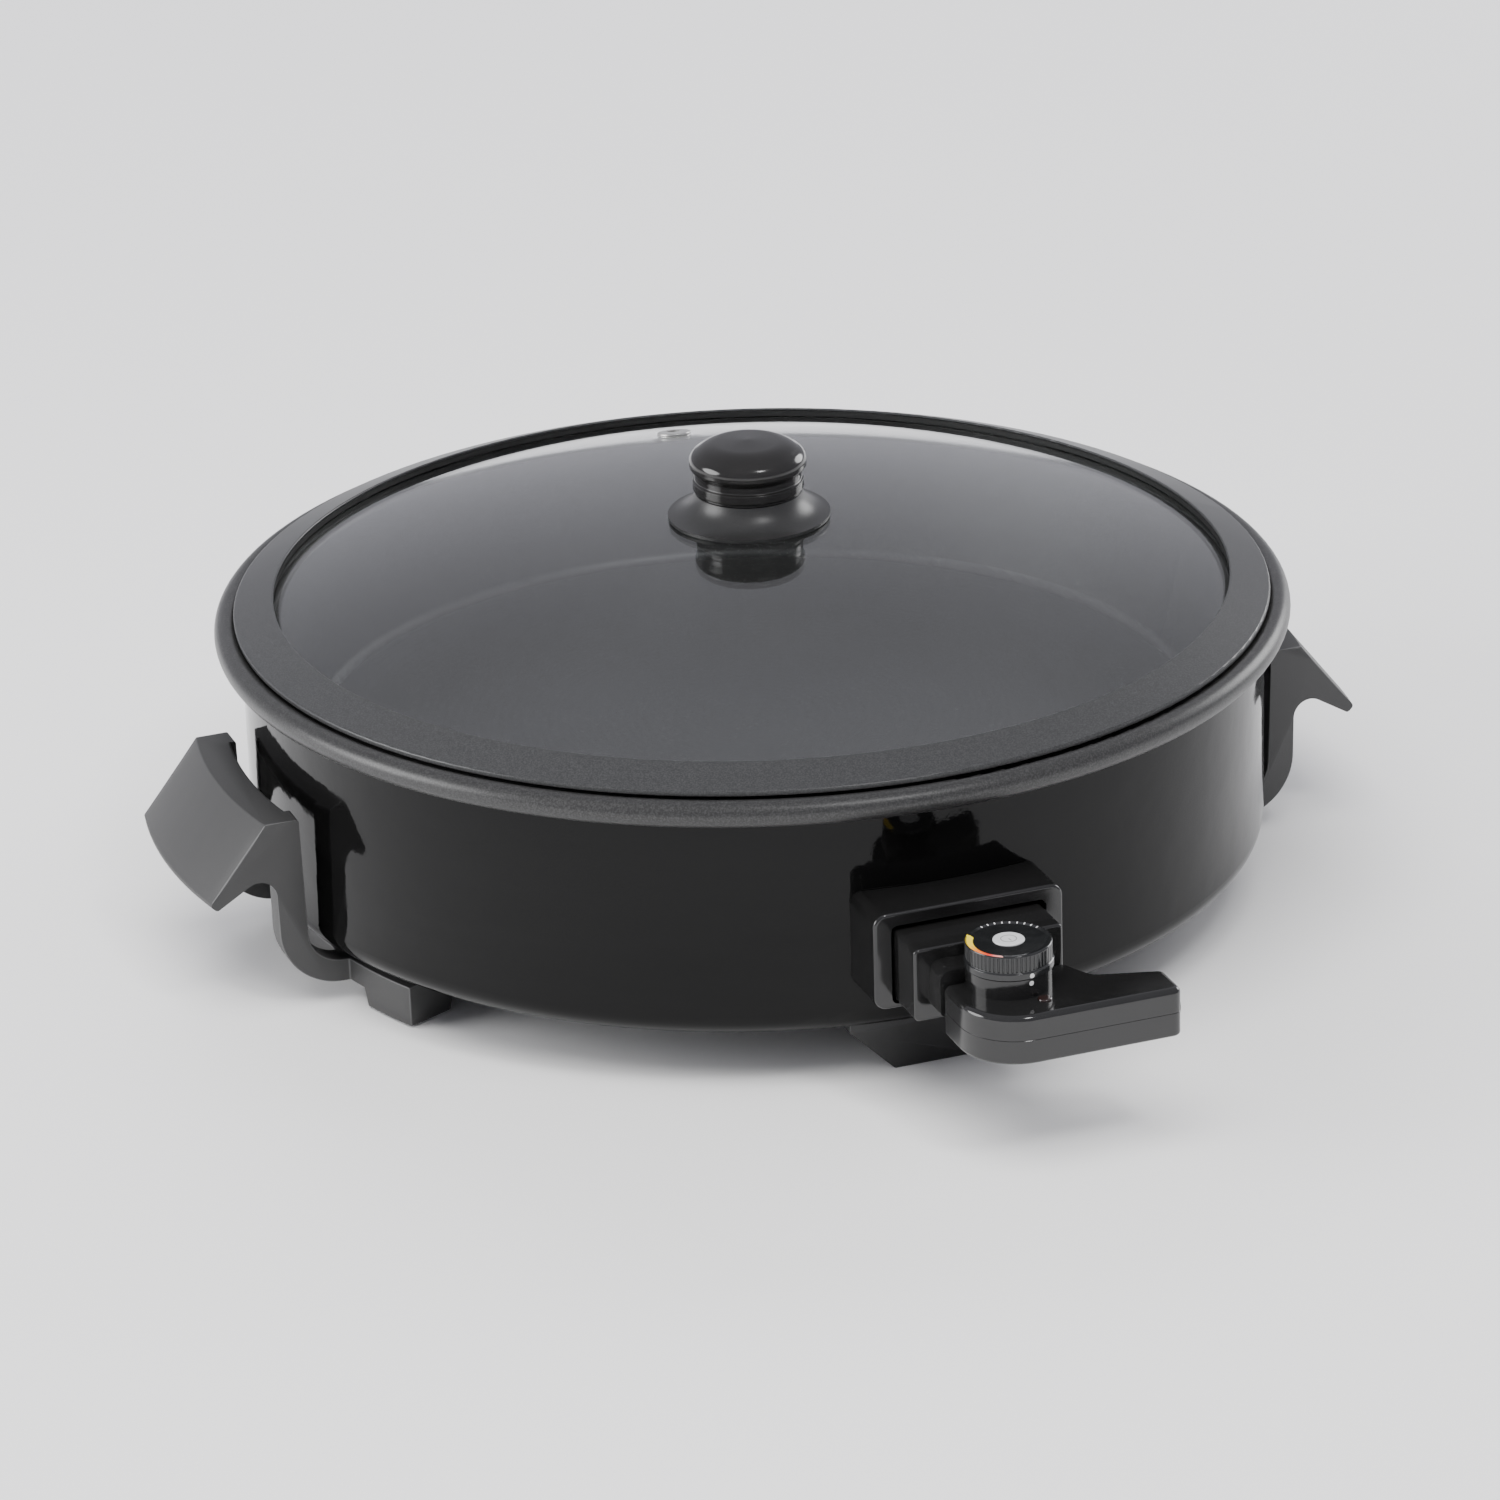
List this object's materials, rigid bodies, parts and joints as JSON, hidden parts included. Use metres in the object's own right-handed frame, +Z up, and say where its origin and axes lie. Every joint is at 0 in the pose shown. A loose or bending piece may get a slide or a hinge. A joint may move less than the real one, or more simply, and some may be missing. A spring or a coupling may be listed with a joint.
{
  "type": "electric griddle",
  "caption": "Round deep electric griddle pan with a domed glass lid, sloping side handles, wedge legs and a plug-in thermostat with a turning dial.",
  "frame": {"origin": "the pan's axis on the surface that the griddle stands on", "axes": "+Z up along the pan's axis, +X to the right handle, -Y to the plug-in thermostat"},
  "size_m": [0.4748, 0.4889, 0.1804],
  "materials": {
    "shell_gloss": "gloss black enamel",
    "pan_nonstick": "speckled satin non-stick",
    "rim_charcoal": "satin charcoal",
    "lid_glass": "clear tempered",
    "silicone": "matt",
    "knob_gloss": "gloss",
    "knob_satin": "satin",
    "phenolic": "satin",
    "bezel_gloss": "gloss",
    "control_gloss": "gloss",
    "steel": "brushed",
    "sheet_steel": "galvanised",
    "element_steel": "heat darkened",
    "contact_chrome": "polished",
    "cast_aluminium": "cast",
    "brass": "turned",
    "ceramic": "glazed ceramic",
    "lamp_lens": "clear amber",
    "gland_rubber": "matt",
    "dial_gloss": "gloss",
    "dial_white": "silver white"
  },
  "bodies": {
    "base": {"base_nut": "steel", "bezel_screw_left": "steel", "bezel_screw_right": "steel", "earth_clip": "contact_chrome", "element_clip_1": "sheet_steel", "element_clip_2": "sheet_steel", "element_clip_3": "sheet_steel", "foot_pad_1": "gland_rubber", "foot_pad_2": "gland_rubber", "foot_pad_3": "gland_rubber", "foot_pad_4": "gland_rubber", "handle_left": "phenolic", "handle_right": "phenolic", "handle_screw_1": "steel", "handle_screw_2": "steel", "handle_screw_3": "steel", "handle_screw_4": "steel", "heat_shield": "sheet_steel", "heating_element": "element_steel", "leg_front": "phenolic", "leg_rear": "phenolic", "leg_screw_1": "steel", "leg_screw_2": "steel", "outer_shell": "shell_gloss", "pan_base": "pan_nonstick", "pan_rim": "pan_nonstick", "pan_stud": "steel", "pan_wall": "pan_nonstick", "probe_guide": "cast_aluminium", "socket_bezel": "bezel_gloss", "socket_plate": "sheet_steel", "terminal_insulator_left": "ceramic", "terminal_insulator_right": "ceramic", "terminal_pin_left": "contact_chrome", "terminal_pin_right": "contact_chrome"},
    "lid": {"knob_body": "knob_gloss", "knob_gasket": "silicone", "knob_insert": "brass", "knob_screw": "steel", "knob_skirt": "knob_satin", "knob_under_gasket": "silicone", "knob_washer": "steel", "lid_glass": "lid_glass", "lid_rim": "rim_charcoal", "lid_seal": "silicone", "vent_eyelet": "steel"},
    "control": {"case_screw_1": "steel", "case_screw_2": "steel", "contact_sleeve_left": "contact_chrome", "contact_sleeve_right": "contact_chrome", "control_lower_case": "control_gloss", "control_upper_case": "control_gloss", "cord_gland": "gland_rubber", "pilot_lens": "lamp_lens", "plug_block": "control_gloss", "probe_collar": "steel", "probe_rod": "contact_chrome"},
    "dial": {"dial_cap": "dial_white", "dial_knob": "dial_gloss", "dial_spindle": "steel"}
  },
  "joints": [
    {"name": "lid_lift", "type": "slide", "parent": "base", "child": "lid", "axis": [0, 0, 1], "range_m": [0, 0.15]},
    {"name": "control_plug", "type": "slide", "parent": "base", "child": "control", "axis": [0, -1, 0], "range_m": [0, 0.16]},
    {"name": "dial_turn", "type": "hinge", "parent": "control", "child": "dial", "pos_m": [0, -0.2535, 0.069], "axis": [0, 0, 1], "range_deg": [-270, 0]}
  ]
}
